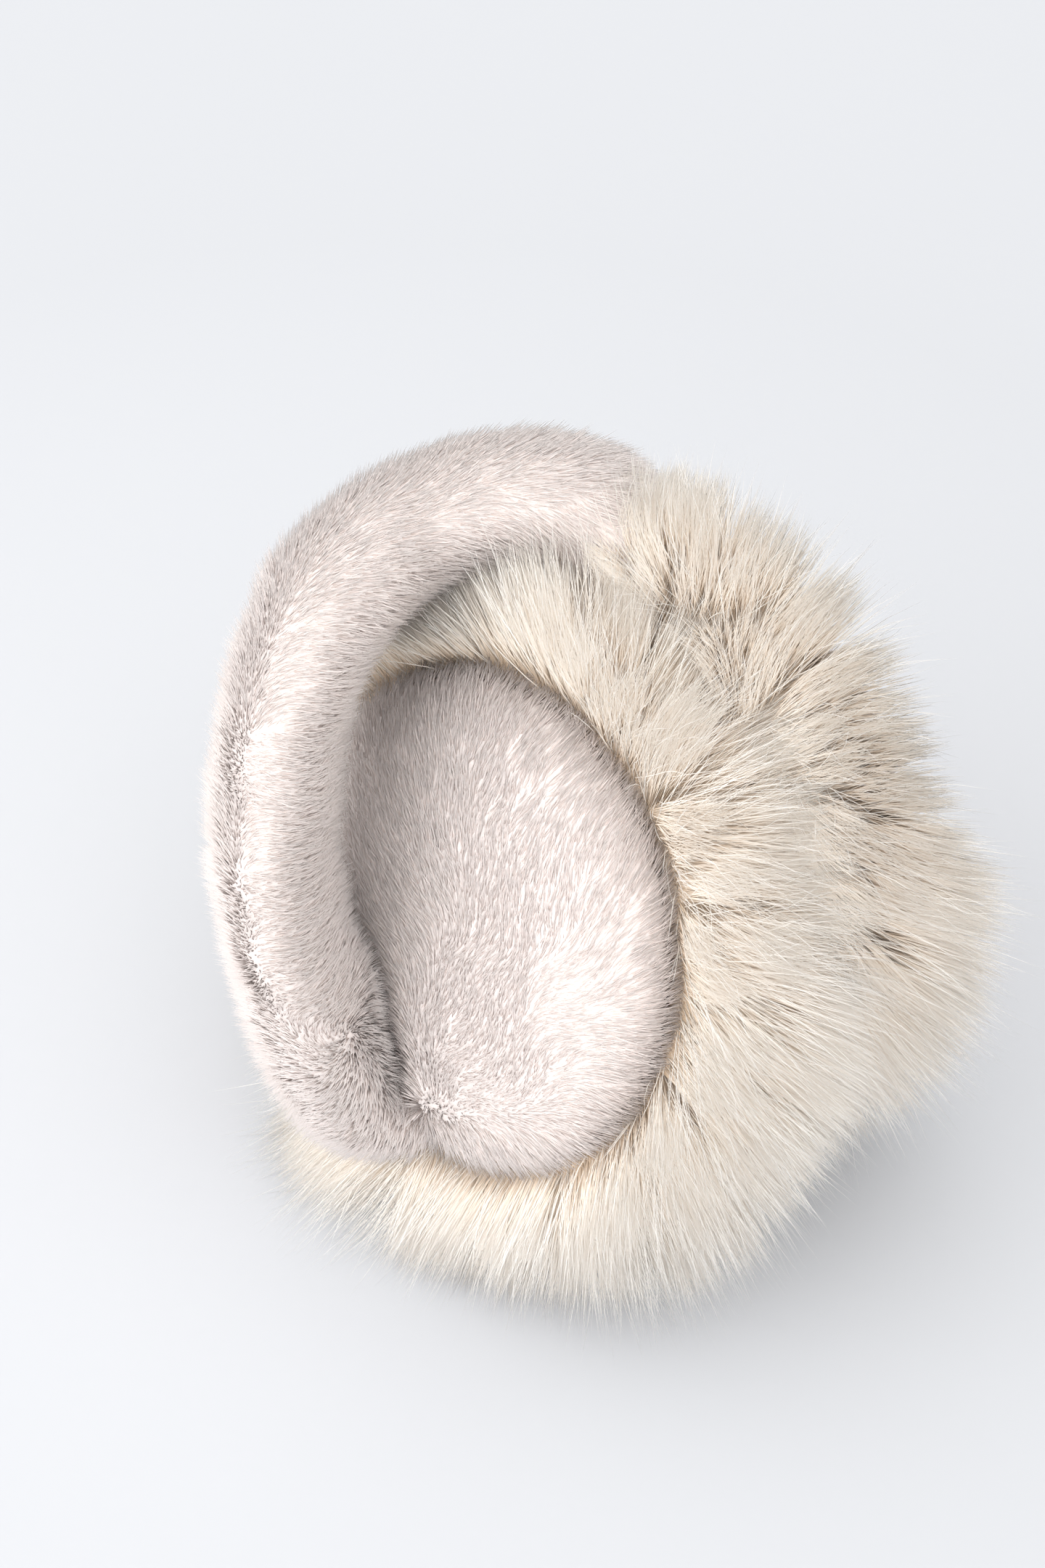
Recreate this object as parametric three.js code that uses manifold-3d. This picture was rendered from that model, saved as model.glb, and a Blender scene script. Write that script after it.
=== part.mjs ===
// Fur earmuffs, folded together and lying on a table: a plush headband, two soft ear pads and
// two muffs of long fur that stand back to back on their own hair. Millimetres, +Z up, z = 0 is
// the surface that they rest on.
import * as THREE from 'three';
import { mergeVertices } from 'three/addons/utils/BufferGeometryUtils.js';
import Module from 'manifold-3d';

// Muffs
const PAD_RADIUS = 49; // seam between the ear pad and the long fur
const PAD_BULGE = 18; // how far the pad stands out of that seam
const FUR_RADIUS = 82; // from the muff's axis to the tips of the fur
const FUR_DEPTH = 44; // from the seam to the tips behind the muff
const LOCK_WIDTH = 24; // a lock of fur at its root
const LOCK_FULLNESS = 1.5; // how much a lock's sides bulge, from 0 for a plain cone
const LOCK_FLATNESS = 0.8; // a lock's thickness to its width
const FLOOR_PRESS = 14; // fur that the muff's weight lays down along the table

// How the two muffs stand
const HEADING = 220.4; // degrees, the way in plan that the near ear pad faces
const LEAN = 25.5; // degrees, how far the near muff leans back on the far one
const MUFF_SPACING = 54; // between the two seams

// Headband
const BAND_WIDTH = 37;
const BAND_THICKNESS = 25;
const LOOP_REACH = 65; // how far the loop stands out from the line between its ends
const LOOP_SWAY = 20; // how far the loop swings to the side of its own plane
const LOOP_ROLL = -42; // degrees, the plane of the loop about the line between its ends
const BAND_SEAT = 5; // depth behind the seams at which the band's ends enter the fur

const CLEARANCE = 0.3;

const PAD_SIDES = 32;
const BAND_SIDES = 14;
const BAND_STEPS = 40;

// Outline of the ear pad, from its back to the top of its cushion.
// out: share of PAD_RADIUS, up: share of PAD_BULGE
const PAD_OUTLINE = [
  { out: 0.96, up: 0 },
  { out: 1.0, up: 0.13 },
  { out: 0.985, up: 0.32 },
  { out: 0.91, up: 0.56 },
  { out: 0.76, up: 0.78 },
  { out: 0.5, up: 0.94 },
  { out: 0.22, up: 0.99 },
];

// The fur's dense under-layer, from the seam round to the middle of the back.
// out: share of FUR_RADIUS, back: share of FUR_DEPTH
const BACKING_OUTLINE = [
  { out: 0.64, back: 0 },
  { out: 0.75, back: 0.06 },
  { out: 0.83, back: 0.24 },
  { out: 0.83, back: 0.48 },
  { out: 0.75, back: 0.7 },
  { out: 0.5, back: 0.83 },
  { out: 0.24, back: 0.9 },
];

// Rings of locks, from the ring that fans out round the pad to the one on the back. Roots and tips
// are shares of FUR_RADIUS (out) and of FUR_DEPTH (back); turn is a share of one lock's pitch.
const LOCK_RINGS = [
  { locks: 20, rootOut: 0.66, rootBack: 0.24, tipOut: 0.93, tipBack: -0.14, turn: 0 },
  { locks: 18, rootOut: 0.64, rootBack: 0.34, tipOut: 1.0, tipBack: 0.14, turn: 0.5 },
  { locks: 16, rootOut: 0.62, rootBack: 0.46, tipOut: 0.99, tipBack: 0.46, turn: 0.2 },
  { locks: 12, rootOut: 0.55, rootBack: 0.56, tipOut: 0.87, tipBack: 0.8, turn: 0.7 },
  { locks: 6, rootOut: 0.3, rootBack: 0.6, tipOut: 0.48, tipBack: 1.0, turn: 0.1 },
];

// Outline that no tip of a muff's fur passes, from in front of its pad round to its back.
// Shares as for the locks.
const REACH_OUTLINE = [
  { out: 0.95, back: -0.34 },
  { out: 1.04, back: 0.04 },
  { out: 1.05, back: 0.5 },
  { out: 0.93, back: 0.9 },
  { out: 0.5, back: 1.12 },
];

// Route of the band's middle line, from inside the near muff to inside the far one.
// along: share of the line between its two seats, reach: share of LOOP_REACH, sway: share of
// LOOP_SWAY, full: share of the band's full section there
const BAND_ROUTE = [
  { along: 0.178, reach: -0.216, sway: -0.3, full: 0.8 },
  { along: 0.041, reach: -0.043, sway: -0.226, full: 0.86 },
  { along: 0.0, reach: 0.198, sway: 0.037, full: 0.95 },
  { along: 0.139, reach: 0.502, sway: 0.571, full: 1.02 },
  { along: 0.372, reach: 0.829, sway: 0.793, full: 1.0 },
  { along: 0.58, reach: 0.972, sway: 0.504, full: 0.98 },
  { along: 0.749, reach: 0.956, sway: -0.191, full: 1.02 },
  { along: 0.872, reach: 0.778, sway: -0.846, full: 0.97 },
  { along: 0.985, reach: 0.487, sway: -0.993, full: 0.95 },
  { along: 1.0, reach: 0.232, sway: -0.836, full: 0.9 },
  { along: 0.895, reach: 0.05, sway: -0.5, full: 0.85 },
];

const wasm = await Module();
wasm.setup();

// Closed solid from a three.js geometry whose vertices are shared again.
function solid(geometry) {
  const bare = geometry.index ? geometry.toNonIndexed() : geometry.clone();
  bare.deleteAttribute('normal');
  bare.deleteAttribute('uv');
  const shared = mergeVertices(bare, 1e-4);
  return new wasm.Manifold(
    new wasm.Mesh({
      numProp: 3,
      vertProperties: new Float32Array(shared.attributes.position.array),
      triVerts: new Uint32Array(shared.index.array),
    }),
  );
}

function geometryOf(body) {
  const mesh = body.getMesh();
  const geometry = new THREE.BufferGeometry();
  geometry.setAttribute('position', new THREE.BufferAttribute(mesh.vertProperties, 3));
  geometry.setIndex(new THREE.BufferAttribute(mesh.triVerts, 1));
  return geometry;
}

// The largest body, without the tips of locks that a cut has left loose.
function mainBody(bodies) {
  return bodies.decompose().reduce((a, b) => (b.volume() > a.volume() ? b : a));
}

// Repeatable number from -1 to 1 for the small differences between locks.
function vary(seed) {
  const wave = Math.sin(seed * 127.1 + 11.7) * 43758.5453;
  return 2 * (wave - Math.floor(wave)) - 1;
}

const plan = THREE.MathUtils.degToRad(HEADING);
const lean = THREE.MathUtils.degToRad(LEAN);
const towardsViewer = new THREE.Vector3(Math.cos(plan), Math.sin(plan), 0);
const upwards = new THREE.Vector3(0, 0, 1);

// A muff's own frame: Y is the way its ear pad faces, Z points up in the plane of its seam, and
// the origin is the middle of the seam.
function muffFrame(padFaces, middle) {
  const acrossSeam = new THREE.Vector3().crossVectors(padFaces, upwards).normalize();
  const upSeam = new THREE.Vector3().crossVectors(acrossSeam, padFaces);
  return new THREE.Matrix4().makeBasis(acrossSeam, padFaces, upSeam).setPosition(middle);
}

const nearFaces = towardsViewer
  .clone()
  .multiplyScalar(Math.cos(lean))
  .addScaledVector(upwards, Math.sin(lean));
const farFaces = towardsViewer.clone().negate();
const nearMiddle = upwards.clone().multiplyScalar(FUR_RADIUS * Math.cos(lean) - FLOOR_PRESS);
const farMiddle = farFaces
  .clone()
  .multiplyScalar(MUFF_SPACING)
  .addScaledVector(upwards, FUR_RADIUS - FLOOR_PRESS);
const nearFrame = muffFrame(nearFaces, nearMiddle);
const farFrame = muffFrame(farFaces, farMiddle);

// Headband

const nearSeat = new THREE.Vector3(0, -BAND_SEAT, -PAD_RADIUS).applyMatrix4(nearFrame);
const farSeat = new THREE.Vector3(0, -BAND_SEAT, PAD_RADIUS).applyMatrix4(farFrame);
const seatLine = farSeat.clone().sub(nearSeat);
const seatWay = seatLine.clone().normalize();
const loopWay = nearFaces
  .clone()
  .projectOnPlane(seatWay)
  .normalize()
  .applyAxisAngle(seatWay, THREE.MathUtils.degToRad(LOOP_ROLL));
const swayWay = new THREE.Vector3().crossVectors(seatWay, loopWay);

const bandLine = new THREE.CatmullRomCurve3(
  BAND_ROUTE.map(({ along, reach, sway }) =>
    nearSeat
      .clone()
      .addScaledVector(seatLine, along)
      .addScaledVector(loopWay, reach * LOOP_REACH)
      .addScaledVector(swayWay, sway * LOOP_SWAY),
  ),
  false,
  'centripetal',
);

function bandFullness(share) {
  const place = share * (BAND_ROUTE.length - 1);
  const row = Math.min(Math.floor(place), BAND_ROUTE.length - 2);
  return THREE.MathUtils.lerp(BAND_ROUTE[row].full, BAND_ROUTE[row + 1].full, place - row);
}

// The band is a round tube along its line, whose every section is then spread to an oval that
// lies flat to the loop. spare is added all round.
function bandGeometry(spare) {
  const circle = new THREE.Shape(
    Array.from({ length: BAND_SIDES }, (_, i) => {
      const turn = (2 * Math.PI * i) / BAND_SIDES;
      return new THREE.Vector2(Math.cos(turn), Math.sin(turn));
    }),
  );
  const tube = new THREE.ExtrudeGeometry(circle, {
    steps: BAND_STEPS,
    extrudePath: bandLine,
    bevelEnabled: false,
  });
  const line = bandLine.getSpacedPoints(BAND_STEPS);
  const point = new THREE.Vector3();
  const { position } = tube.attributes;
  for (let i = 0; i < position.count; i++) {
    point.fromBufferAttribute(position, i);
    const step = nearestStep(line, point);
    const tangent = bandLine.getTangentAt(step / BAND_STEPS);
    const wide = swayWay.clone().projectOnPlane(tangent).normalize();
    const thick = new THREE.Vector3().crossVectors(tangent, wide);
    const full = bandFullness(step / BAND_STEPS);
    const offset = point.clone().sub(line[step]);
    const turn = Math.atan2(offset.dot(thick), offset.dot(wide));
    const dent = 1 + 0.025 * Math.sin(step * 1.9 + 2 * turn);
    point
      .copy(line[step])
      .addScaledVector(wide, offset.dot(wide) * ((BAND_WIDTH / 2) * full * dent + spare))
      .addScaledVector(thick, offset.dot(thick) * ((BAND_THICKNESS / 2) * full * dent + spare));
    position.setXYZ(i, point.x, point.y, point.z);
  }
  return tube;
}

function nearestStep(line, point) {
  let best = 0;
  for (let i = 1; i < line.length; i++) {
    if (line[i].distanceToSquared(point) < line[best].distanceToSquared(point)) best = i;
  }
  return best;
}

// Ear pads

function padGeometry(spare) {
  const outline = PAD_OUTLINE.map(
    ({ out, up }) => new THREE.Vector2(out * PAD_RADIUS + spare, CLEARANCE + up * PAD_BULGE + spare),
  );
  outline[0].y -= 2 * spare;
  const base = new THREE.Vector2(0, outline[0].y);
  const crown = new THREE.Vector2(0, CLEARANCE + PAD_BULGE + spare);
  return new THREE.LatheGeometry([base, ...outline, crown], PAD_SIDES);
}

// Long fur

// Round body about the muff's axis, closed with a flat face at the first and last row.
function roundBody(rows) {
  const outline = rows.map(
    ({ out, back }) => new THREE.Vector2(out * FUR_RADIUS, -back * FUR_DEPTH),
  );
  const front = new THREE.Vector2(0, outline[0].y);
  const behind = new THREE.Vector2(0, outline[outline.length - 1].y);
  return new THREE.LatheGeometry([behind, ...outline.reverse(), front], PAD_SIDES);
}

// One lock of fur: a full, blunt-sided cone from root to tip, with its tip bent aside.
function lockGeometry(root, tip, width, droop) {
  const way = tip.clone().sub(root);
  const length = way.length();
  const lock = new THREE.ConeGeometry(0.5, 1, 5, 3);
  const { position } = lock.attributes;
  for (let i = 0; i < position.count; i++) {
    const share = position.getY(i) + 0.5;
    const swell = width * (1 + LOCK_FULLNESS * share);
    position.setXYZ(
      i,
      position.getX(i) * swell,
      share * length,
      position.getZ(i) * swell * LOCK_FLATNESS + droop * share * share,
    );
  }
  const turn = new THREE.Quaternion().setFromUnitVectors(
    new THREE.Vector3(0, 1, 0),
    way.normalize(),
  );
  return lock.applyQuaternion(turn).translate(root.x, root.y, root.z);
}

function ringPoint(angle, out, back) {
  return new THREE.Vector3(
    out * FUR_RADIUS * Math.cos(angle),
    -back * FUR_DEPTH,
    out * FUR_RADIUS * Math.sin(angle),
  );
}

// A tip that would pass the table lies down along it, with its lock as long as before.
function laidOnTable(root, tip, frame) {
  const from = root.clone().applyMatrix4(frame);
  const to = tip.clone().applyMatrix4(frame);
  if (to.z >= 0) return tip;
  const run = Math.sqrt(Math.max(from.distanceToSquared(to) - from.z * from.z, 0));
  const level = new THREE.Vector3(to.x - from.x, to.y - from.y, 0).setLength(run);
  level.z = -from.z;
  return from.add(level).applyMatrix4(frame.clone().invert());
}

function furSolid(frame, seed) {
  let fur = solid(roundBody(BACKING_OUTLINE));
  LOCK_RINGS.forEach(({ locks, rootOut, rootBack, tipOut, tipBack, turn }, ring) => {
    for (let i = 0; i < locks; i++) {
      const key = seed + ring * 40 + i;
      const angle = (2 * Math.PI * (i + turn + 0.22 * vary(key))) / locks;
      const swirl = (0.5 * Math.PI * vary(key + 0.3)) / locks;
      const root = ringPoint(angle, rootOut, rootBack);
      const free = ringPoint(angle + swirl, tipOut - 0.03 + 0.03 * vary(key + 0.6), tipBack);
      const tip = laidOnTable(root, free, frame);
      const width = LOCK_WIDTH * (1 + 0.15 * vary(key + 0.8));
      const droop = 0.15 * LOCK_WIDTH * vary(key + 0.9);
      fur = fur.add(solid(lockGeometry(root, tip, width, droop)));
    }
  });
  return fur;
}

// The half of space behind a plane, as a block large enough for every muff.
const BLOCK_SIDE = 8 * (FUR_RADIUS + MUFF_SPACING);
function blockBehind(point, facing) {
  const block = new THREE.BoxGeometry(BLOCK_SIDE, BLOCK_SIDE, BLOCK_SIDE);
  block.translate(0, -BLOCK_SIDE / 2, 0);
  block.applyQuaternion(
    new THREE.Quaternion().setFromUnitVectors(new THREE.Vector3(0, 1, 0), facing),
  );
  return solid(block.translate(point.x, point.y, point.z));
}

const band = solid(bandGeometry(0));
const roomForBand = solid(bandGeometry(CLEARANCE));
const floor = blockBehind(new THREE.Vector3(), upwards);

// The two muffs press against each other on one plane, halfway between their seams.
const contactMiddle = nearMiddle.clone().add(farMiddle).multiplyScalar(0.5);
const contactFaces = nearFaces.clone().sub(farFaces).normalize();

function behindContact(gap) {
  return blockBehind(contactMiddle.clone().addScaledVector(contactFaces, gap), contactFaces);
}
// The far fur closes round the near muff, and gives way only where the near muff's fur stands.
const roomForNearMuff = solid(roundBody(REACH_OUTLINE).applyMatrix4(nearFrame)).subtract(
  behindContact(-CLEARANCE / 2),
);

function muffPieces(frame, seed, roomForOther) {
  const place = (body) => solid(geometryOf(body).applyMatrix4(frame));
  const pad = place(solid(padGeometry(0))).subtract(roomForBand);
  const fur = place(furSolid(frame, seed).subtract(solid(padGeometry(CLEARANCE))))
    .subtract(roomForBand)
    .subtract(roomForOther)
    .subtract(floor);
  return { pad: mainBody(pad), fur: mainBody(fur) };
}

const near = muffPieces(nearFrame, 1, behindContact(CLEARANCE / 2));
const far = muffPieces(farFrame, 500, roomForNearMuff);

const PLUSH = { color: 0xe6dbd6, roughness: 0.95, metalness: 0 };
const LONG_FUR = { color: 0xeadfce, roughness: 0.9, metalness: 0 };

function piece(name, body, finish) {
  const mesh = new THREE.Mesh(geometryOf(body), new THREE.MeshStandardMaterial(finish));
  mesh.name = name;
  return mesh;
}

const earmuffs = new THREE.Group();
earmuffs.add(
  piece('headband', band, PLUSH),
  piece('near_ear_pad', near.pad, PLUSH),
  piece('near_fur_muff', near.fur, LONG_FUR),
  piece('far_ear_pad', far.pad, PLUSH),
  piece('far_fur_muff', far.fur, LONG_FUR),
);

// The origin is under the middle of the whole, on the table.
const whole = new THREE.Box3().setFromObject(earmuffs);
const middle = whole.getCenter(new THREE.Vector3());
earmuffs.position.set(-middle.x, -middle.y, -whole.min.z);

export default earmuffs;
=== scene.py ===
"""Fur earmuffs, folded and lying on a pale floor: a plush headband, two plush ear pads and two
muffs of long cream fur. Lengths are in metres unless a name or a comment says otherwise."""

import math

import bmesh
import bpy
import numpy as np
from mathutils import Euler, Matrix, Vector


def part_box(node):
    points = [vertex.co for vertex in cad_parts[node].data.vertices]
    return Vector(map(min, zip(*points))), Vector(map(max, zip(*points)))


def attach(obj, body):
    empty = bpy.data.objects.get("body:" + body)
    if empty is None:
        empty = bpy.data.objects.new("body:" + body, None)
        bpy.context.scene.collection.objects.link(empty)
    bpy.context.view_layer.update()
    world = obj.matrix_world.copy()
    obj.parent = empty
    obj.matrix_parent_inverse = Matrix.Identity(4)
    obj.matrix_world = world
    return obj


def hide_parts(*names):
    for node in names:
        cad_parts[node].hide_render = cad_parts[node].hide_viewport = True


bl_info = {
    "name": "Fur Earmuffs",
    "version": (1, 0, 0),
    "blender": (4, 5, 0),
    "location": "View3D > Sidebar > Earmuffs",
    "description": "Makes a pair of folded fur earmuffs on a studio floor",
    "category": "Object",
}

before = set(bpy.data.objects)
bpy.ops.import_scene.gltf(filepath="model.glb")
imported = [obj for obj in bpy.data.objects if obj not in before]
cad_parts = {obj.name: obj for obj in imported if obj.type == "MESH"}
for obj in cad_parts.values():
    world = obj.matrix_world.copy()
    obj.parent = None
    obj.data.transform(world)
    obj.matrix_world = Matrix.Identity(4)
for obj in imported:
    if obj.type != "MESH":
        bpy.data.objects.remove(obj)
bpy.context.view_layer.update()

MM = 0.001

# How the two muffs stand, as in the solids
HEADING = math.radians(220.4)
LEAN = math.radians(25.5)
FUR_RADIUS = 82 * MM
FUR_DEPTH = 44 * MM
MUFF_SPACING = 54 * MM
FLOOR_PRESS = 14 * MM
# The far pad is upright, so its box is centred on it in plan, this far before its seam.
FAR_PAD_FORWARD = 4.16 * MM

# Padded cloth under the plush's pile
CLOTH_VOXEL = 2.5 * MM
BAND_INSET = 2.2 * MM
PAD_INSET = 2 * MM
LOOP_AXIS = (-0.05, 0.93, -0.36)
BAND_LAY = np.array((0.5, -0.2, -0.2))
# Pile is brushed flat on the side that faces front and up.
BRUSHED_SIDE = np.array((0, -0.643, 0.766))

# Body under the long fur, from the seam round to the middle of the back: out is a share of
# FUR_RADIUS, back of FUR_DEPTH, tilt is how far the hair leans towards the pad's side in degrees,
# reach is the hair's length in millimetres, and cover is how much hair there is.
BACKING_ROWS = (
    # out, back, tilt, reach, cover
    (0.57, -0.02, 42, 17, 0),
    (0.60, -0.05, 32, 20, 1.8),
    (0.625, 0.00, 21, 24, 1.4),
    (0.65, 0.08, 10, 26, 1.1),
    (0.665, 0.22, 2, 26, 1),
    (0.665, 0.38, -7, 25, 1),
    (0.63, 0.56, -22, 22.5, 1),
    (0.53, 0.72, -44, 19, 1),
    (0.34, 0.82, -62, 16, 0.8),
    (0.148, 0.86, -80, 13, 0.7),
)
BACKING_RINGS = 37
BACKING_SIDES = 96
# Room between the backing and what it lies against: the other muff and the floor
BACKING_ROOM = 1.5 * MM

# Strands for each piece, and how they grow.
STRAND_SHARE = 1.0
BAND_STRANDS = 45500
NEAR_PAD_STRANDS, FAR_PAD_STRANDS = 33000, 11000
NEAR_UNDER_HAIRS, FAR_UNDER_HAIRS = 47500, 32000
NEAR_GUARD_HAIRS, FAR_GUARD_HAIRS = 11500, 5000
PILE = {"Locks": 60000.0, "Segments": 1, "Gathering": 0.2, "Uneven": 0.35, "Bend": 0.15}
BAND_PILE = {**PILE, "Width": 0.14 * MM, "Frizz": 0.25, "Droop": 0.12}
PAD_PILE = {**PILE, "Width": 0.13 * MM, "Frizz": 0.22, "Droop": 0.1}
UNDER_HAIR = {
    "Locks": 16000.0,
    "Segments": 1,
    "Gathering": 0.45,
    "Frizz": 0.22,
    "Uneven": 0.35,
    "Bend": 0.12,
    "Droop": 0.1,
}
GUARD_HAIR = {
    "Locks": 16000.0,
    "Segments": 3,
    "Gathering": 0.25,
    "Frizz": 0.32,
    "Uneven": 0.3,
    "Longer": 1.27,
    "Bend": 0.16,
    "Droop": 0.1,
}
GUARD_WIDTH = 0.6  # share of the under-hair's
PULL_POWER = 1.6  # how late along its length hair turns to its lock's tip
WALL_FADE = 12 * MM
# Past this radius of the near muff the far fur is free to close round it.
NEAR_FUR_RIM = 66 * MM
FAR_AWAY = 10.0
FLOOR_ROOM = 0.2 * MM

# Stage
FLOOR_HALF = 3.0
FLOOR_PAINTED_LIGHT = 1.18  # painted light: how much paler the floor's colour is painted by the earmuffs, as a pool of light
# Middle of the painted pool of light on the floor
PAINTED_LIGHT_MIDDLE = (-0.04, 0.0, 0)
WORLD_COLOUR = (1.0, 0.99, 0.975, 1)
WORLD_STRENGTH = 1.55
LIGHT_SIZE = 1.8
LIGHTS = (
    # name, place, watts, colour
    ("window_light", (-1.9, -0.3, 0.9), 20.0, (1.0, 0.985, 0.97)),
    ("front_light", (-1.05, -1.8, 0.98), 9.0, (1.0, 0.985, 0.97)),
    ("low_fill", (0.75, -2.25, 0.68), 6.5, (1.0, 0.98, 0.96)),
)
LIT_POINT = Vector((0, 0, 0.05))
SENSOR = 36.0
VIEW_HEIGHT = 0.288  # what the picture's height takes in at the earmuffs
VIEW_MIDDLE = Vector((4.0, -3.5, 43.0)) * MM  # from the near muff's middle


def unit(vector):
    vector = np.asarray(vector, float)
    return vector / np.linalg.norm(vector, axis=-1, keepdims=True)


def step_up(values, start, width):
    """0 up to the start, 1 from a width past it on, and even between them."""
    return np.clip((values - start) / width, 0, 1)


class Muff:
    """A muff's own axes: middle is the middle of its ear pad's seam, facing is the way that its
    pad looks, and up and across lie in the seam."""

    def __init__(self, middle, facing):
        self.middle, self.facing = np.asarray(middle, float), unit(facing)
        self.across = unit(np.cross(self.facing, (0, 0, 1)))
        self.up = np.cross(self.across, self.facing)

    def place(self, turn, out, forward):
        """Points at these turns about the axis, distances from it and distances before the seam."""
        ring = np.cos(turn)[..., None] * self.across + np.sin(turn)[..., None] * self.up
        return self.middle + out[..., None] * ring + forward[..., None] * self.facing

    def from_axis(self, points):
        """Each point's offset from the axis, and its distance before the seam."""
        from_middle = points - self.middle
        forward = from_middle @ self.facing
        return from_middle - forward[:, None] * self.facing, forward


def muffs():
    """The near and the far muff, placed by the far ear pad's box."""
    plan = np.array((math.cos(HEADING), math.sin(HEADING), 0))
    near_facing = plan * math.cos(LEAN) + np.array((0, 0, math.sin(LEAN)))
    low, high = (np.array(corner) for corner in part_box("far_ear_pad"))
    pad_middle = (low + high) / 2
    far_height = FUR_RADIUS - FLOOR_PRESS
    far_middle = np.array((pad_middle[0], pad_middle[1], far_height)) + plan * FAR_PAD_FORWARD
    near_middle = far_middle + plan * MUFF_SPACING
    near_middle[2] = FUR_RADIUS * math.cos(LEAN) - FLOOR_PRESS
    return Muff(near_middle, near_facing), Muff(far_middle, -plan)


NEAR, FAR = muffs()
CONTACT_POINT = (NEAR.middle + FAR.middle) / 2
CONTACT_WAY = unit(FAR.facing - NEAR.facing)


# ---------------------------------------------------------------- sockets and node trees


def pick(sockets, key):
    """The socket at an index, or the first one in use with a name."""
    if isinstance(key, int):
        return sockets[key]
    return next(s for s in sockets if s.enabled and (key is None or s.name == key))


class Wire:
    """A node's output, to be used in Python expressions on values and vectors."""

    def __init__(self, graph, socket):
        self.graph, self.socket = graph, socket

    def other(self, key):
        return Wire(self.graph, pick(self.socket.node.outputs, key))

    @staticmethod
    def _is_vector(value):
        if isinstance(value, Wire):
            return value.socket.type == "VECTOR"
        return hasattr(value, "__len__")

    def _maths(self, operation, a, b):
        vectors = self._is_vector(a) + self._is_vector(b)
        if vectors == 1 and operation == "MULTIPLY":
            vector, scale = (a, b) if self._is_vector(a) else (b, a)
            return self._vector_maths("SCALE", {"Vector": vector, "Scale": scale})
        if vectors:
            return self._vector_maths(operation, {0: a, 1: b})
        return self.graph.node("ShaderNodeMath", {"operation": operation}, {0: a, 1: b})

    def _vector_maths(self, operation, values, output=None):
        settings = {"operation": operation}
        return self.graph.node("ShaderNodeVectorMath", settings, values, output)

    def __add__(self, value):
        return self._maths("ADD", self, value)

    def __sub__(self, value):
        return self._maths("SUBTRACT", self, value)

    def __rsub__(self, value):
        return self._maths("SUBTRACT", value, self)

    def __mul__(self, value):
        return self._maths("MULTIPLY", self, value)

    def __pow__(self, value):
        return self._maths("POWER", self, value)

    __radd__, __rmul__ = __add__, __mul__

    def at_least(self, value):
        return self._maths("MAXIMUM", self, value)

    def at_most(self, value):
        return self._maths("MINIMUM", self, value)

    def dot(self, value):
        return self._vector_maths("DOT_PRODUCT", {0: self, 1: value}, "Value")

    def length(self):
        return self._vector_maths("LENGTH", {0: self}, "Value")

    def unit(self):
        return self._vector_maths("NORMALIZE", {0: self})


class Graph:
    """Adds nodes to a node tree."""

    def __init__(self, tree):
        self.tree = tree

    def node(self, kind, settings=None, values=None, output=None):
        """A new node of a type, with its settings, then its sockets' values or links."""
        made = self.tree.nodes.new(kind)
        for name, value in (settings or {}).items():
            if name == "stops":
                self._ramp(made.color_ramp, value)
            else:
                setattr(made, name, value)
        self.feed(made, values or {})
        return Wire(self, pick(made.outputs, output)) if len(made.outputs) else made

    def feed(self, node, values):
        """Sets a node's sockets to values, or links them."""
        for key, value in values.items():
            socket = pick(node.inputs, key)
            if isinstance(value, Wire):
                self.tree.links.new(value.socket, socket)
            else:
                socket.default_value = value

    @staticmethod
    def _ramp(ramp, stops):
        while len(ramp.elements) < len(stops):
            ramp.elements.new(1)
        for element, (place, colour) in zip(ramp.elements, stops):
            element.position, element.color = place, (*colour, 1)


# ---------------------------------------------------------------- strands by Geometry Nodes

STRAND_INPUTS = (
    # name, socket type, description
    ("Geometry", "NodeSocketGeometry", "Backing, with its flow, reach and cover attributes"),
    ("Density", "NodeSocketFloat", "Strands on each square metre"),
    ("Locks", "NodeSocketFloat", "Locks on each square metre, that strands gather to"),
    ("Seed", "NodeSocketInt", "Seed of everything random"),
    ("Width", "NodeSocketFloat", "A strand's radius at its root"),
    ("Segments", "NodeSocketInt", "Bends along a strand"),
    ("Gathering", "NodeSocketFloat", "How far tips move to their lock's tip"),
    ("Frizz", "NodeSocketFloat", "Spread of the strands' ways"),
    ("Uneven", "NodeSocketFloat", "Spread of the strands' lengths"),
    ("Longer", "NodeSocketFloat", "Length of the longest strands to the backing's reach"),
    ("Bend", "NodeSocketFloat", "Random bend, as a share of the length"),
    ("Droop", "NodeSocketFloat", "Bend under gravity, as a share of the length"),
    ("Wall Point", "NodeSocketVector", "A point that the strands don't pass"),
    ("Wall Way", "NodeSocketVector", "The way through that wall"),
    ("Wall Axis", "NodeSocketVector", "Axis of the round wall"),
    ("Wall Middle", "NodeSocketVector", "Middle of the round wall"),
    ("Wall Reach", "NodeSocketFloat", "Radius at which the wall gives way"),
    ("Material", "NodeSocketMaterial", "Finish of the strands"),
)


def random_value(graph, kind, low, high, seed):
    values = {"Min": low, "Max": high, "Seed": seed}
    return graph.node("FunctionNodeRandomValue", {"data_type": kind}, values)


def random_share(graph, seed):
    return random_value(graph, "FLOAT", 0.0, 1.0, seed)


def random_way(graph, seed):
    return random_value(graph, "FLOAT_VECTOR", (-1, -1, -1), (1, 1, 1), seed)


def named(graph, name, kind="FLOAT"):
    return graph.node("GeometryNodeInputNamedAttribute", {"data_type": kind}, {"Name": name})


def stored(graph, geometry, name, value, kind="FLOAT"):
    return graph.node(
        "GeometryNodeStoreNamedAttribute",
        {"data_type": kind, "domain": "POINT"},
        {"Geometry": geometry, "Name": name, "Value": value},
    )


def joined(graph, **values):
    return graph.node("ShaderNodeCombineXYZ", None, values)


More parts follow.
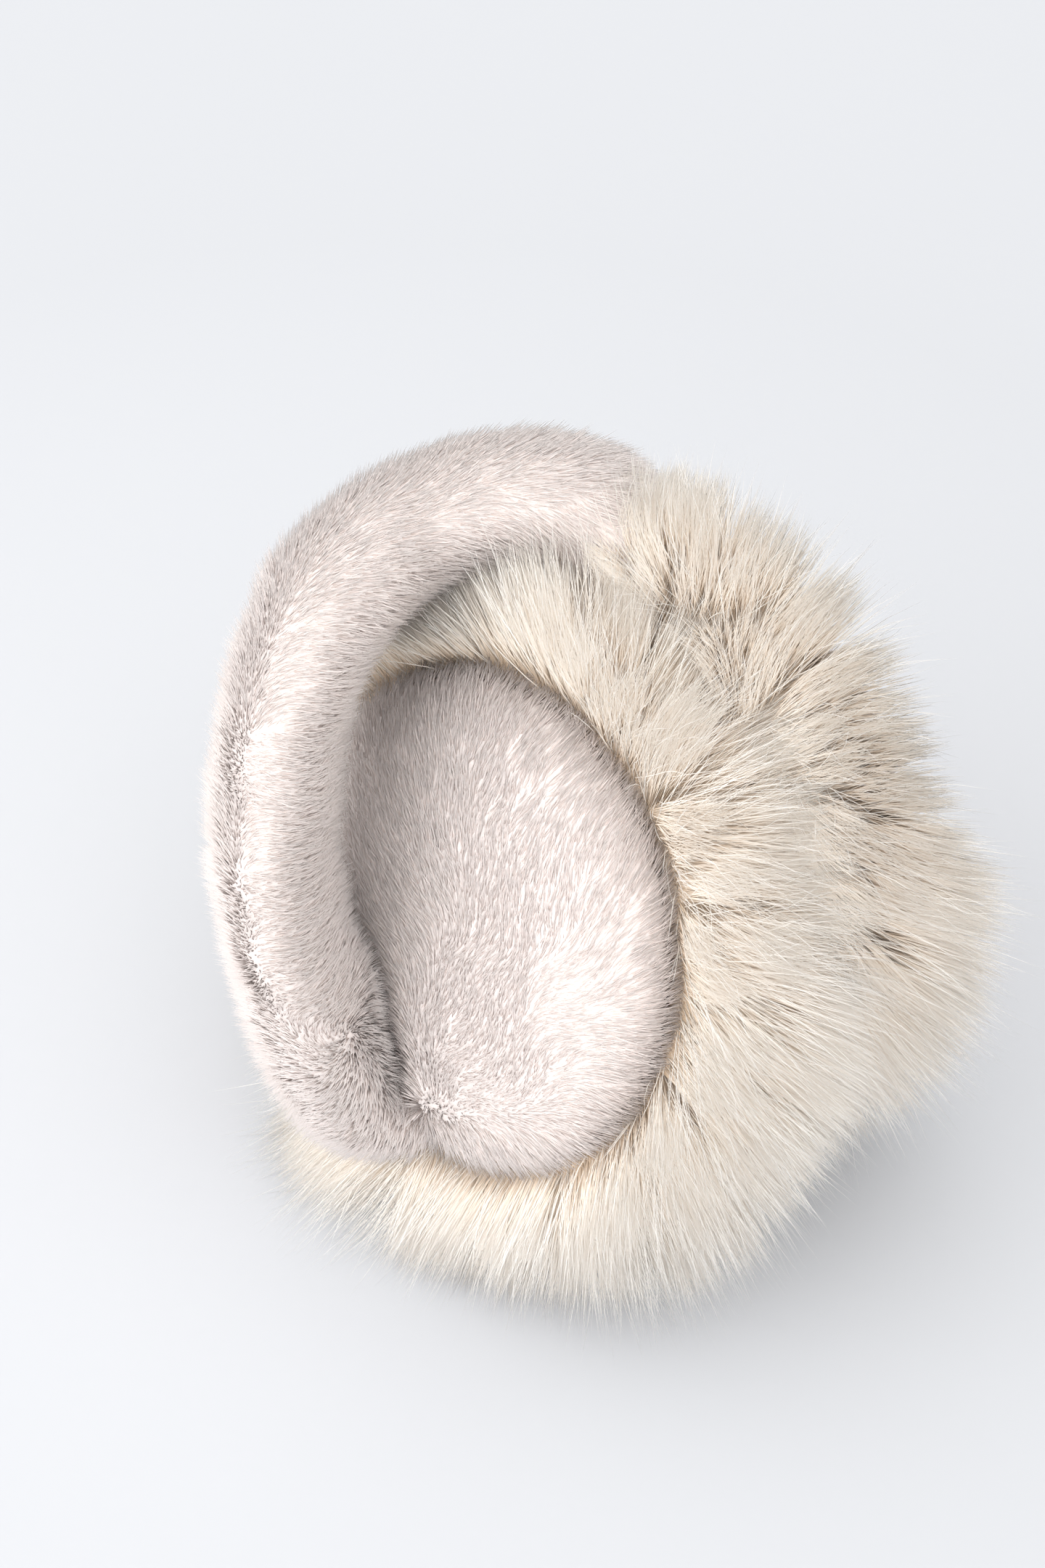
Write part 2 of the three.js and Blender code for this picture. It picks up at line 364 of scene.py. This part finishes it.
def strand_tree():
    """Node tree that grows tapered strands on a backing: closed cones of three sides, which lean
    along the backing's flow, gather in locks, droop, and lie down on the floor and the wall."""
    tree = bpy.data.node_groups.new("grow_strands", "GeometryNodeTree")
    for name, kind, description in STRAND_INPUTS:
        socket = tree.interface.new_socket(name=name, in_out="INPUT", socket_type=kind)
        socket.description = description
    tree.interface.new_socket(name="Geometry", in_out="OUTPUT", socket_type="NodeSocketGeometry")
    graph = Graph(tree)
    given = graph.node("NodeGroupInput")
    position = graph.node("GeometryNodeInputPosition")
    strands = standing_strands(graph, given, position)
    moved = bent_strands(graph, given, position)
    moved = kept_off_walls(graph, given, moved)

    strands = graph.node(
        "GeometryNodeSetPosition", None, {"Geometry": strands, "Position": moved}
    )
    for name in ("root", "run", "bend", "pull", "flow", "reach", "cover"):
        strands = graph.node(
            "GeometryNodeRemoveAttribute", None, {"Geometry": strands, "Name": name}
        )
    strands = graph.node(
        "GeometryNodeSetShadeSmooth", None, {"Geometry": strands, "Shade Smooth": True}
    )
    strands = graph.node(
        "GeometryNodeSetMaterial", None, {"Geometry": strands, "Material": given.other("Material")}
    )
    graph.node("NodeGroupOutput", None, {"Geometry": strands})
    return tree


def standing_strands(graph, given, position):
    """Straight cones on the backing, which carry their root, run, bend, pull and shades."""
    backing, seed = given.other("Geometry"), given.other("Seed")
    flow = named(graph, "flow", "FLOAT_VECTOR")
    reach, cover = named(graph, "reach"), named(graph, "cover")

    def scatter(density, offset):
        return graph.node(
            "GeometryNodeDistributePointsOnFaces",
            {"distribute_method": "RANDOM"},
            {"Mesh": backing, "Density": density * cover, "Seed": seed + offset},
        )

    locks = scatter(given.other("Locks"), 11)
    nearest = graph.node(
        "GeometryNodeSampleNearest",
        {"domain": "POINT"},
        {"Geometry": locks, "Sample Position": position},
    )

    def of_lock(value, kind):
        return graph.node(
            "GeometryNodeSampleIndex",
            {"data_type": kind, "domain": "POINT"},
            {"Geometry": locks, "Value": value, "Index": nearest},
        )

    lock_length = reach * random_value(graph, "FLOAT", 0.9, 1.12, 5)
    lock_tip = of_lock(position + flow * lock_length, "FLOAT_VECTOR")
    lock_shade = of_lock(random_share(graph, 6), "FLOAT")

    shorter = given.other("Uneven") * random_share(graph, seed + 1)
    length = reach * given.other("Longer") * (1 - shorter)
    way = (flow + random_way(graph, seed + 2) * given.other("Frizz")).unit()
    down = joined(graph, Z=0 - given.other("Droop"))
    bend = (random_way(graph, seed + 3) * given.other("Bend") + down) * length
    run = way * length
    pull = (lock_tip - (position + run + bend)) * given.other("Gathering")

    roots = scatter(given.other("Density"), 0)
    for name, value, kind in (
        ("ground_normal", roots.other("Normal"), "FLOAT_VECTOR"),
        ("root", position, "FLOAT_VECTOR"),
        ("run", run, "FLOAT_VECTOR"),
        ("bend", bend, "FLOAT_VECTOR"),
        ("pull", pull, "FLOAT_VECTOR"),
        ("lock_shade", lock_shade, "FLOAT"),
        ("shade", random_share(graph, seed + 4), "FLOAT"),
    ):
        roots = stored(graph, roots, name, value, kind)

    cone = graph.node(
        "GeometryNodeMeshCone",
        {"fill_type": "NGON"},
        {
            "Vertices": 3,
            "Side Segments": given.other("Segments"),
            "Radius Top": 0.0,
            "Radius Bottom": 1.0,
            "Depth": 1.0,
        },
    )
    height = graph.node("ShaderNodeSeparateXYZ", None, {0: position}).other("Z")
    cone = stored(graph, cone, "along", height)

    run = named(graph, "run", "FLOAT_VECTOR")
    turn = graph.node("FunctionNodeAlignRotationToVector", {"axis": "Z"}, {"Vector": run})
    width = given.other("Width") * random_value(graph, "FLOAT", 0.75, 1.25, seed + 7)
    size = joined(graph, X=width, Y=width, Z=run.length())
    strands = graph.node(
        "GeometryNodeInstanceOnPoints",
        None,
        {"Points": roots, "Instance": cone, "Rotation": turn, "Scale": size},
    )
    return graph.node("GeometryNodeRealizeInstances", None, {"Geometry": strands})


def bent_strands(graph, given, position):
    """Where each point of a cone goes as its strand bends, droops and turns to its lock's tip."""
    along = named(graph, "along")
    line = named(graph, "root", "FLOAT_VECTOR") + named(graph, "run", "FLOAT_VECTOR") * along
    girth = (position - line) * along  # keeps a strand thick for longer
    bent = named(graph, "bend", "FLOAT_VECTOR") * (along * along)
    pulled = named(graph, "pull", "FLOAT_VECTOR") * (along**PULL_POWER)
    return position + girth + bent + pulled


def kept_off_walls(graph, given, moved):
    """Holds strands back at the other muff and at the floor."""

    def held_back(point, middle, wall_way, share=None):
        past = (point - middle).dot(wall_way).at_least(0.0)
        return point - wall_way * (past if share is None else past * share)

    axis = given.other("Wall Axis")
    from_middle = moved - given.other("Wall Middle")
    off_axis = (from_middle - axis * from_middle.dot(axis)).length()
    hold = graph.node(
        "ShaderNodeMapRange",
        {"clamp": True},
        {
            "Value": off_axis,
            "From Min": given.other("Wall Reach"),
            "From Max": given.other("Wall Reach") + WALL_FADE,
            "To Min": 1.0,
            "To Max": 0.0,
        },
    )
    moved = held_back(moved, given.other("Wall Point"), given.other("Wall Way"), hold)
    return held_back(moved, joined(graph, Z=FLOOR_ROOM), joined(graph, Z=-1.0))


def new_object(name, data):
    made = bpy.data.objects.new(name, data)
    bpy.context.scene.collection.objects.link(made)
    return made


def plain_mesh(piece):
    """The mesh that an object's modifiers make. The object itself is removed."""
    depsgraph = bpy.context.evaluated_depsgraph_get()
    mesh = bpy.data.meshes.new_from_object(piece.evaluated_get(depsgraph))
    bpy.data.objects.remove(piece)
    return mesh


def grow(name, backing, material, strands, seed, values):
    """A new object: the strands that the node tree grows on a backing."""
    tree = bpy.data.node_groups.get("grow_strands") or strand_tree()
    grower = new_object(name + "_grower", backing.data)
    modifier = grower.modifiers.new("strands", "NODES")
    modifier.node_group = tree
    identifiers = {
        item.name: item.identifier
        for item in tree.interface.items_tree
        if item.item_type == "SOCKET" and item.in_out == "INPUT"
    }
    settings = {
        "Density": strand_density(backing.data, strands),
        "Seed": seed,
        "Wall Point": (0, 0, 0),
        "Wall Way": (0, 0, -1),
        "Wall Axis": (0, 0, 1),
        "Wall Middle": (0, 0, 0),
        "Wall Reach": FAR_AWAY,
        "Longer": 1.0,
        "Material": material,
        **values,
    }
    for key, value in settings.items():
        modifier[identifiers[key]] = value
    mesh = plain_mesh(grower)
    mesh.name = name
    grown = new_object(name, mesh)
    # Hair this fine lets light through to what is under it.
    grown.visible_shadow = False
    return grown


def strand_density(mesh, strands):
    """Strands to a square metre of full cover, for about that many strands in all."""
    cover = np.empty(len(mesh.vertices), np.float32)
    mesh.attributes["cover"].data.foreach_get("value", cover)
    covered = sum(face.area * cover[list(face.vertices)].mean() for face in mesh.polygons)
    return strands * STRAND_SHARE / covered


# ---------------------------------------------------------------- backings


def add_mesh(name, points, faces, material):
    mesh = bpy.data.meshes.new(name)
    mesh.from_pydata([tuple(p) for p in points], [], [tuple(f) for f in faces])
    mesh.materials.append(material)
    mesh.polygons.foreach_set("use_smooth", [True] * len(mesh.polygons))
    mesh.update()
    return new_object(name, mesh)


def set_values(mesh, name, values):
    values = np.asarray(values, np.float32)
    kind, key = ("FLOAT_VECTOR", "vector") if values.ndim == 2 else ("FLOAT", "value")
    attribute = mesh.attributes.new(name, kind, "POINT")
    attribute.data.foreach_set(key, values.ravel())


def dress(mesh, flow, reach, cover):
    """Gives a backing the attributes that its strands grow by, one value for each point or one
    for them all."""
    everywhere = np.ones(len(mesh.vertices))
    set_values(mesh, "flow", flow)
    set_values(mesh, "reach", reach * everywhere)
    set_values(mesh, "cover", cover * everywhere)


def points_of(mesh):
    points = np.empty(len(mesh.vertices) * 3)
    mesh.vertices.foreach_get("co", points)
    return points.reshape(-1, 3)


def normals_of(mesh):
    normals = np.empty(len(mesh.vertices) * 3)
    mesh.vertex_normals.foreach_get("vector", normals)
    return normals.reshape(-1, 3)


def wave_field(points, size, seed):
    """Smooth waves that are the same on each run, with bumps of about a size. They lie mostly
    within -0.6 and 0.6 on each axis."""
    waves, height = 14, 0.3
    chance = np.random.default_rng(seed)
    field = np.zeros((len(points), 3))
    for axis in range(3):
        for _ in range(waves):
            steepness = 2 * np.pi / (size * chance.uniform(1.5, 3.0))
            way = unit(chance.normal(size=3)) * steepness
            field[:, axis] += np.sin(points @ way + chance.uniform(0, 2 * np.pi))
    return field * height / math.sqrt(waves / 2)


def round_body(muff):
    """Points and faces of the closed round body through the backing's rows, with each point's
    hair: its flow, its reach and its cover."""
    rows = np.array(BACKING_ROWS, float)
    steps = np.linspace(0, len(rows) - 1, BACKING_RINGS)
    out, back, tilt, reach, cover = (
        np.interp(steps, range(len(rows)), rows[:, i]) for i in range(5)
    )
    turn = np.linspace(0, 2 * np.pi, BACKING_SIDES, endpoint=False)
    turns, outs = np.meshgrid(turn, out * FUR_RADIUS)
    points = muff.place(turns, outs, np.repeat(-back[:, None] * FUR_DEPTH, BACKING_SIDES, 1))
    tilts = np.radians(np.repeat(tilt[:, None], BACKING_SIDES, 1))
    flows = muff.place(turns, np.cos(tilts), np.sin(tilts)) - muff.middle
    reaches = np.repeat(reach[:, None], BACKING_SIDES, 1) * MM

    faces = []
    for ring in range(0, (BACKING_RINGS - 1) * BACKING_SIDES, BACKING_SIDES):
        for i in range(BACKING_SIDES):
            j = (i + 1) % BACKING_SIDES
            next_ring = ring + BACKING_SIDES
            faces.append((ring + i, next_ring + i, next_ring + j, ring + j))
    last = (BACKING_RINGS - 1) * BACKING_SIDES
    faces.append(tuple(range(BACKING_SIDES)))
    faces.append(tuple(reversed(range(last, last + BACKING_SIDES))))
    hair = flows.reshape(-1, 3), reaches.ravel(), np.repeat(cover, BACKING_SIDES)
    return points.reshape(-1, 3), faces, *hair


def muff_backing(name, muff, hidden_way, material):
    """The dense under-layer of a muff's fur, as a closed round body that is flat where the two
    muffs press on each other and where it stands on the floor."""
    points, faces, flows, reaches, cover = round_body(muff)
    past = np.maximum((points - CONTACT_POINT) @ hidden_way + BACKING_ROOM, 0)
    points = points - past[:, None] * hidden_way
    points[:, 2] = np.maximum(points[:, 2], BACKING_ROOM)
    points = points + 0.8 * MM * wave_field(points, 9 * MM, 1) * (past[:, None] == 0)
    off_axis = np.linalg.norm(muff.from_axis(points)[0], axis=1)
    # Between the two muffs only the rim has hair.
    cover = cover * np.where(past > 0, step_up(off_axis, 38 * MM, 8 * MM), 1)
    sway = wave_field(points, 16 * MM, 2)
    reaches = reaches * (1 + 0.16 * sway[:, 0])
    flows, reaches = combed(muff, points, flows, reaches)
    flows = laid_on_floor(points, unit(flows + 0.32 * sway), reaches)
    backing = add_mesh(name, points, faces, material)
    dress(backing.data, flows, reaches, cover)
    face_outwards(backing.data)
    return backing


def combed(muff, points, flows, reaches):
    """The near fur is splayed forward and left at its foot, longer above and shorter by the
    headband. The headband presses on the far fur."""
    from_middle = points - muff.middle
    if muff is NEAR:
        low = step_up(-points[:, 2], -40 * MM, 25 * MM)
        left = step_up(-points[:, 0], 20 * MM, 25 * MM)
        front = step_up(-points[:, 1], 5 * MM, 20 * MM)
        splay = low * left * front
        side = step_up(from_middle @ unit(muff.across - 0.5 * muff.up), 28 * MM, 20 * MM)
        upper = step_up(from_middle @ unit(muff.up - 0.5 * muff.across), 25 * MM, 20 * MM)
        flows = flows + splay[:, None] * (-0.45, -0.35, 0) + 0.08 * upper[:, None] * muff.facing
        return flows, reaches * (1 + 0.4 * splay + 0.17 * upper - 0.35 * side * (1 - splay))
    pressed = step_up(from_middle @ unit((-0.5, 0.6, 0.62)), 30 * MM, 20 * MM)
    return flows, reaches * (1 - 0.55 * pressed)


def laid_on_floor(points, flows, reaches):
    """Hair that would pass the floor lies down along it, at its full length."""
    lowest = np.clip((BACKING_ROOM - points[:, 2]) / reaches, -1, 0)
    drop = np.maximum(flows[:, 2], lowest)
    level = np.sqrt(1 - drop**2) / np.maximum(np.linalg.norm(flows[:, :2], axis=1), 0.05)
    laid = np.column_stack((flows[:, :2] * level[:, None], drop))
    return np.where((flows[:, 2] < lowest)[:, None], unit(laid), flows)


def face_outwards(mesh):
    shape = bmesh.new()
    shape.from_mesh(mesh)
    bmesh.ops.recalc_face_normals(shape, faces=shape.faces)
    shape.to_mesh(mesh)
    shape.free()


def soft_copy(name, node, rounding, inset, material):
    """A rounded copy of a solid, set in from its faces by the depth of the pile."""
    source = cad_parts[node]
    mesh = source.data.copy()
    shape = bmesh.new()
    shape.from_mesh(mesh)
    bmesh.ops.transform(shape, matrix=source.matrix_world, verts=shape.verts)
    bmesh.ops.remove_doubles(shape, verts=shape.verts, dist=1e-6)
    shape.to_mesh(mesh)
    shape.free()
    copy = new_object(name + "_copy", mesh)
    remesh = copy.modifiers.new("even faces", "REMESH")
    remesh.mode, remesh.voxel_size = "VOXEL", CLOTH_VOXEL
    smooth = copy.modifiers.new("rounding", "SMOOTH")
    smooth.iterations = rounding
    rounded = plain_mesh(copy)
    rounded.name = name
    rounded.materials.clear()
    rounded.materials.append(material)
    rounded.polygons.foreach_set("use_smooth", [True] * len(rounded.polygons))
    move_out(rounded, -inset)
    return new_object(name, rounded)


def move_out(mesh, distances):
    """Moves each point along its normal."""
    mesh.vertices.foreach_set("co", (points_of(mesh) + distances * normals_of(mesh)).ravel())
    mesh.update()


# ---------------------------------------------------------------- finishes


def finish(name, make, *values):
    """The material of that name, made once."""
    return bpy.data.materials.get(name) or make(name, *values)


def new_material(name):
    material = bpy.data.materials.new(name)
    material.use_nodes = True
    graph = Graph(material.node_tree)
    shader = material.node_tree.nodes["Principled BSDF"]
    return material, graph, shader


def mixed(graph, factor, a, b, blend="MIX"):
    a, b = (colour if isinstance(colour, Wire) else (*colour, 1) for colour in (a, b))
    return graph.node(
        "ShaderNodeMix",
        {"data_type": "RGBA", "blend_type": blend},
        {"Factor": factor, "A": a, "B": b},
    )


def attribute(graph, name, output="Fac"):
    return graph.node("ShaderNodeAttribute", {"attribute_name": name}, None, output)


def strand_material(name, root, middle, tip, roughness, shine, own_share):
    """Hair that runs from a deeper colour at its root to a pale tip, with small differences
    between hairs and between locks. It is shaded partly as the surface that it grows on."""
    material, graph, shader = new_material(name)
    own = graph.node("ShaderNodeNewGeometry", None, None, "Normal")
    ground = attribute(graph, "ground_normal", "Vector")
    normal = (own * own_share + ground * (1 - own_share)).unit()
    ramp = graph.node(
        "ShaderNodeValToRGB",
        {"stops": [(0.0, root), (0.45, middle), (1.0, tip)]},
        {"Fac": attribute(graph, "along")},
        "Color",
    )
    darker = 0.92 + attribute(graph, "shade") * 0.06 + attribute(graph, "lock_shade") * 0.04
    grey = graph.node(
        "ShaderNodeCombineColor", None, {"Red": darker, "Green": darker, "Blue": darker}
    )
    values = {
        "Base Color": mixed(graph, 1.0, ramp, grey, "MULTIPLY"),
        "Normal": normal,
        "Roughness": roughness,
        "Specular IOR Level": shine,
    }
    graph.feed(shader, values)
    return material


def noise(graph, **values):
    place = graph.node("ShaderNodeTexCoord", None, None, "Object")
    return graph.node("ShaderNodeTexNoise", None, {"Vector": place, **values})


def backing_material(name, deep, pale, grain, relief):
    """Under-layer that shows between strands: fine fibres as colour and bump."""
    material, graph, shader = new_material(name)
    fibres = noise(graph, Scale=grain, Detail=6.0, Roughness=0.7)
    clumps = noise(graph, Scale=grain / 7, Detail=3.0)
    bump = graph.node(
        "ShaderNodeBump",
        None,
        {"Strength": relief, "Distance": 1.2 * MM, "Height": fibres + clumps},
    )
    values = {
        "Base Color": mixed(graph, fibres * 0.7 + clumps * 0.5 - 0.25, deep, pale),
        "Normal": bump,
        "Roughness": 0.95,
        "Sheen Weight": 0.3,
    }
    graph.feed(shader, values)
    return material


def plush_pile():
    s = bpy.context.scene.earmuff_plush
    return finish("plush_pile", strand_material, s.root, s.middle, s.tip, 0.85, 0.12, 0.45)


def plush_ground():
    s = bpy.context.scene.earmuff_plush
    return finish("plush_ground", backing_material, s.middle, s.tip, 900.0, 0.4)


def fur_hair():
    s = bpy.context.scene.earmuff_fur
    # Painted shade: the deeper, warmer root and middle of this ramp stand partly for warm shade
    # deep in the fur.
    return finish("fur_hair", strand_material, s.root, s.middle, s.tip, 0.6, 0.3, 0.5)


def fur_ground():
    s = bpy.context.scene.earmuff_fur
    # Painted shade: the backing under the hair takes the fur's root and middle colours, partly the
    # fur's own tan and partly warm shade painted into it.
    return finish("fur_ground", backing_material, s.root, s.middle, 500.0, 0.8)


def guard_hair():
    s = bpy.context.scene.earmuff_fur
    return finish("guard_hair", strand_material, s.middle, s.tip, s.guard, 0.45, 0.35, 0.5)


# ---------------------------------------------------------------- sizes and colours


def colour_property(name, default, description):
    return bpy.props.FloatVectorProperty(
        name=name, subtype="COLOR", size=3, min=0, max=1, default=default, description=description
    )


def length_property(name, default, description):
    return bpy.props.FloatProperty(
        name=name, unit="LENGTH", default=default, description=description
    )


class PlushSettings(bpy.types.PropertyGroup):
    pile: length_property("Pile", 6.0 * MM, "Length of the plush's pile")
    root: colour_property("Root", (0.90, 0.77, 0.72), "Colour deep in the pile")
    middle: colour_property("Middle", (0.935, 0.85, 0.825), "Colour half way up the pile")
    tip: colour_property("Tip", (0.955, 0.905, 0.893), "Colour of the pile's tips")


class FurSettings(bpy.types.PropertyGroup):
    width: length_property("Hair width", 0.16 * MM, "Radius of a hair at its root")
    # The root and middle colours are partly the fur's own tan and partly painted warm shade deep in
    # the fur, where the hairs shade each other.
    root: colour_property("Root", (0.87, 0.67, 0.48), "Colour deep in the fur")
    middle: colour_property("Middle", (0.965, 0.86, 0.75), "Colour half way along the hair")
    tip: colour_property("Tip", (0.99, 0.935, 0.865), "Colour of the under-hair's tips")
    guard: colour_property("Guard hair", (1.0, 0.985, 0.965), "Colour of the guard hairs' tips")


class StageSettings(bpy.types.PropertyGroup):
    floor: colour_property("Floor", (0.475, 0.489, 0.516), "Colour of the floor")
    elevation: bpy.props.FloatProperty(
        name="Elevation",
        subtype="ANGLE",
        default=math.radians(50),
        description="How steeply the camera looks down",
    )
    distance: length_property("Distance", 1.25, "From the camera to the earmuffs")


# ---------------------------------------------------------------- pieces


def along_cloth(way, normals):
    """The part of a way that runs along the cloth, at full length where it isn't very short."""
    way = way - (way * normals).sum(1)[:, None] * normals
    return way / np.maximum(np.linalg.norm(way, axis=1), 0.3)[:, None]


def pile_flow(mesh, lay, rise, seed):
    """Pile that rises from the cloth and lies along a way, with large and small swirls."""
    points, normals = points_of(mesh), normals_of(mesh)
    large, small = wave_field(points, 15 * MM, seed), wave_field(points, 6 * MM, seed + 9)
    lying = along_cloth(along_cloth(lay, normals) + 0.5 * large + 0.25 * small, normals)
    flow = unit(normals * rise + lying)
    return unit(flow - 0.6 * np.maximum(flow @ BRUSHED_SIDE, 0)[:, None] * BRUSHED_SIDE)


def finished(piece, slot, *nodes):
    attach(piece, "root")
    if nodes:
        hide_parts(*nodes)


class EARMUFFS_OT_headband(bpy.types.Operator):
    """Makes the padded headband and its pile"""

    bl_idname = "earmuffs.headband"
    bl_label = "Headband"

    def execute(self, context):
        s = context.scene.earmuff_plush
        band = soft_copy("headband_cloth", "headband", 6, BAND_INSET, plush_ground())
        mesh = band.data
        points = points_of(mesh)
        lumps = wave_field(points, 18 * MM, 3)[:, 0] + 0.6 * wave_field(points, 8 * MM, 4)[:, 1]
        move_out(mesh, 1.0 * MM * lumps[:, None])
        low, high = (np.array(c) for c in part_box("headband"))
        along_band = unit(np.cross(LOOP_AXIS, points - (low + high) / 2))
        dress(mesh, pile_flow(mesh, 0.7 * along_band + BAND_LAY, 0.7, 5), s.pile, 1)
        pile = grow("headband_pile", band, plush_pile(), BAND_STRANDS, 21, BAND_PILE)
        finished(band, "plush", "headband")
        finished(pile, "plush")
        return {"FINISHED"}


class EARMUFFS_OT_ear_pads(bpy.types.Operator):
    """Makes the two ear pads and their pile"""

    bl_idname = "earmuffs.ear_pads"
    bl_label = "Ear Pads"

    def execute(self, context):
        for name, muff, strands, seed in (
            ("near", NEAR, NEAR_PAD_STRANDS, 31),
            ("far", FAR, FAR_PAD_STRANDS, 41),
        ):
            self.pad(context.scene.earmuff_plush, name, muff, strands, seed)
        return {"FINISHED"}

    def pad(self, s, name, muff, strands, seed):
        node = f"{name}_ear_pad"
        cushion = soft_copy(f"{name}_pad_cushion", node, 8, PAD_INSET, plush_ground())
        mesh = cushion.data
        offsets, forward = muff.from_axis(points_of(mesh))
        outwards = unit(offsets + 1e-6)
        edge = step_up(np.linalg.norm(offsets, axis=1), 36 * MM, 12 * MM)
        lay = (0.35 + 0.9 * edge[:, None]) * outwards + 0.7 * muff.up
        reach = s.pile * 0.95 * (1 + 0.5 * edge)
        cover = step_up(forward, 0, 2 * MM)
        dress(mesh, pile_flow(mesh, lay, 0.6, seed), reach, cover)
        pile = grow(f"{name}_pad_pile", cushion, plush_pile(), strands, seed, PAD_PILE)
        finished(cushion, "plush", node)
        finished(pile, "plush")


class EARMUFFS_OT_fur(bpy.types.Operator):
    """Makes the long fur of both muffs: backing, under-hair and guard hairs"""

    bl_idname = "earmuffs.fur"
    bl_label = "Long Fur"

    def execute(self, context):
        s = context.scene.earmuff_fur
        for name, muff, hidden_way, seed, under, over, reach in (
            ("near", NEAR, CONTACT_WAY, 51, NEAR_UNDER_HAIRS, NEAR_GUARD_HAIRS, FAR_AWAY),
            ("far", FAR, -CONTACT_WAY, 61, FAR_UNDER_HAIRS, FAR_GUARD_HAIRS, NEAR_FUR_RIM),
        ):
            backing = muff_backing(f"{name}_fur_backing", muff, hidden_way, fur_ground())
            wall = {
                "Wall Point": tuple(CONTACT_POINT + hidden_way * 2.0 * MM),
                "Wall Way": tuple(hidden_way),
                "Wall Axis": tuple(NEAR.facing),
                "Wall Middle": tuple(NEAR.middle),
                "Wall Reach": reach,
            }
            values = {**UNDER_HAIR, "Width": s.width, **wall}
            hair = grow(f"{name}_under_hair", backing, fur_hair(), under, seed, values)
            values = {**GUARD_HAIR, "Width": s.width * GUARD_WIDTH, **wall}
            guard = grow(f"{name}_guard_hair", backing, guard_hair(), over, seed + 5, values)
            finished(backing, "long_fur", f"{name}_fur_muff")
            finished(hair, "long_fur")
            finished(guard, "long_fur")
        return {"FINISHED"}


class EARMUFFS_OT_stage(bpy.types.Operator):
    """Makes the floor, the lights and the camera"""

    bl_idname = "earmuffs.stage"
    bl_label = "Stage"

    def execute(self, context):
        s, scene = context.scene.earmuff_stage, context.scene
        self.floor(s)
        self.lights(scene)
        self.camera(s, scene)
        scene.view_settings.view_transform = "Standard"
        return {"FINISHED"}

    def floor(self, s):
        material, graph, shader = new_material("floor_paper")
        place = graph.node("ShaderNodeTexCoord", None, None, "Object")
        grain = noise(graph, Scale=3.0, Detail=2.0)
        # Painted light: the floor's colour grows paler towards the earmuffs, as a pool of light
        # falling there. The grain is the paper's own.
        painted_light = 1 - ((place - PAINTED_LIGHT_MIDDLE).length() * 4.5).at_most(1.0)
        painted_lit_floor = tuple(c * FLOOR_PAINTED_LIGHT for c in s.floor)
        values = {
            "Base Color": mixed(graph, grain * 0.1 + painted_light, s.floor, painted_lit_floor),
            "Roughness": 0.9,
            "Specular IOR Level": 0.2,
        }
        graph.feed(shader, values)
        signs = ((-1, -1), (1, -1), (1, 1), (-1, 1))
        corners = [(x * FLOOR_HALF, y * FLOOR_HALF, 0) for x, y in signs]
        add_mesh("floor", corners, [(0, 1, 2, 3)], material)

    def lights(self, scene):
        scene.world = scene.world or bpy.data.worlds.new("studio")
        scene.world.use_nodes = True
        background = scene.world.node_tree.nodes["Background"]
        background.inputs["Color"].default_value = WORLD_COLOUR
        background.inputs["Strength"].default_value = WORLD_STRENGTH
        for name, place, power, colour in LIGHTS:
            light = bpy.data.lights.new(name, "AREA")
            light.size, light.energy, light.color = LIGHT_SIZE, power, colour
            lamp = new_object(name, light)
            lamp.location = place
            lamp.rotation_euler = (LIT_POINT - Vector(place)).to_track_quat("-Z", "Y").to_euler()

    def camera(self, s, scene):
        camera = bpy.data.cameras.new("camera")
        camera.sensor_width = SENSOR
        camera.lens = camera.sensor_width * s.distance / VIEW_HEIGHT
        looker = new_object("camera", camera)
        away = Vector((0, -math.cos(s.elevation), math.sin(s.elevation)))
        looker.location = Vector(NEAR.middle) + VIEW_MIDDLE + away * s.distance
        looker.rotation_euler = Euler((math.pi / 2 - s.elevation, 0, 0))
        scene.camera = looker


class EARMUFFS_PT_panel(bpy.types.Panel):
    bl_label = "Fur Earmuffs"
    bl_idname = "EARMUFFS_PT_panel"
    bl_space_type = "VIEW_3D"
    bl_region_type = "UI"
    bl_category = "Earmuffs"

    def draw(self, context):
        for settings in SETTINGS:
            group = getattr(context.scene, settings)
            box = self.layout.box()
            for name in group.__annotations__:
                box.prop(group, name)
        for operator in OPERATORS:
            self.layout.operator(operator.bl_idname)


OPERATORS = (EARMUFFS_OT_stage, EARMUFFS_OT_headband, EARMUFFS_OT_ear_pads, EARMUFFS_OT_fur)
SETTINGS = {
    "earmuff_plush": PlushSettings,
    "earmuff_fur": FurSettings,
    "earmuff_stage": StageSettings,
}


def register():
    for kind in (*SETTINGS.values(), *OPERATORS, EARMUFFS_PT_panel):
        bpy.utils.register_class(kind)
    for name, kind in SETTINGS.items():
        setattr(bpy.types.Scene, name, bpy.props.PointerProperty(type=kind))


def unregister():
    for name in SETTINGS:
        delattr(bpy.types.Scene, name)
    for kind in (EARMUFFS_PT_panel, *OPERATORS, *SETTINGS.values()):
        bpy.utils.unregister_class(kind)


def main():
    register()
    bpy.ops.earmuffs.stage()
    bpy.ops.earmuffs.headband()
    bpy.ops.earmuffs.ear_pads()
    bpy.ops.earmuffs.fur()


if __name__ == "__main__":
    main()
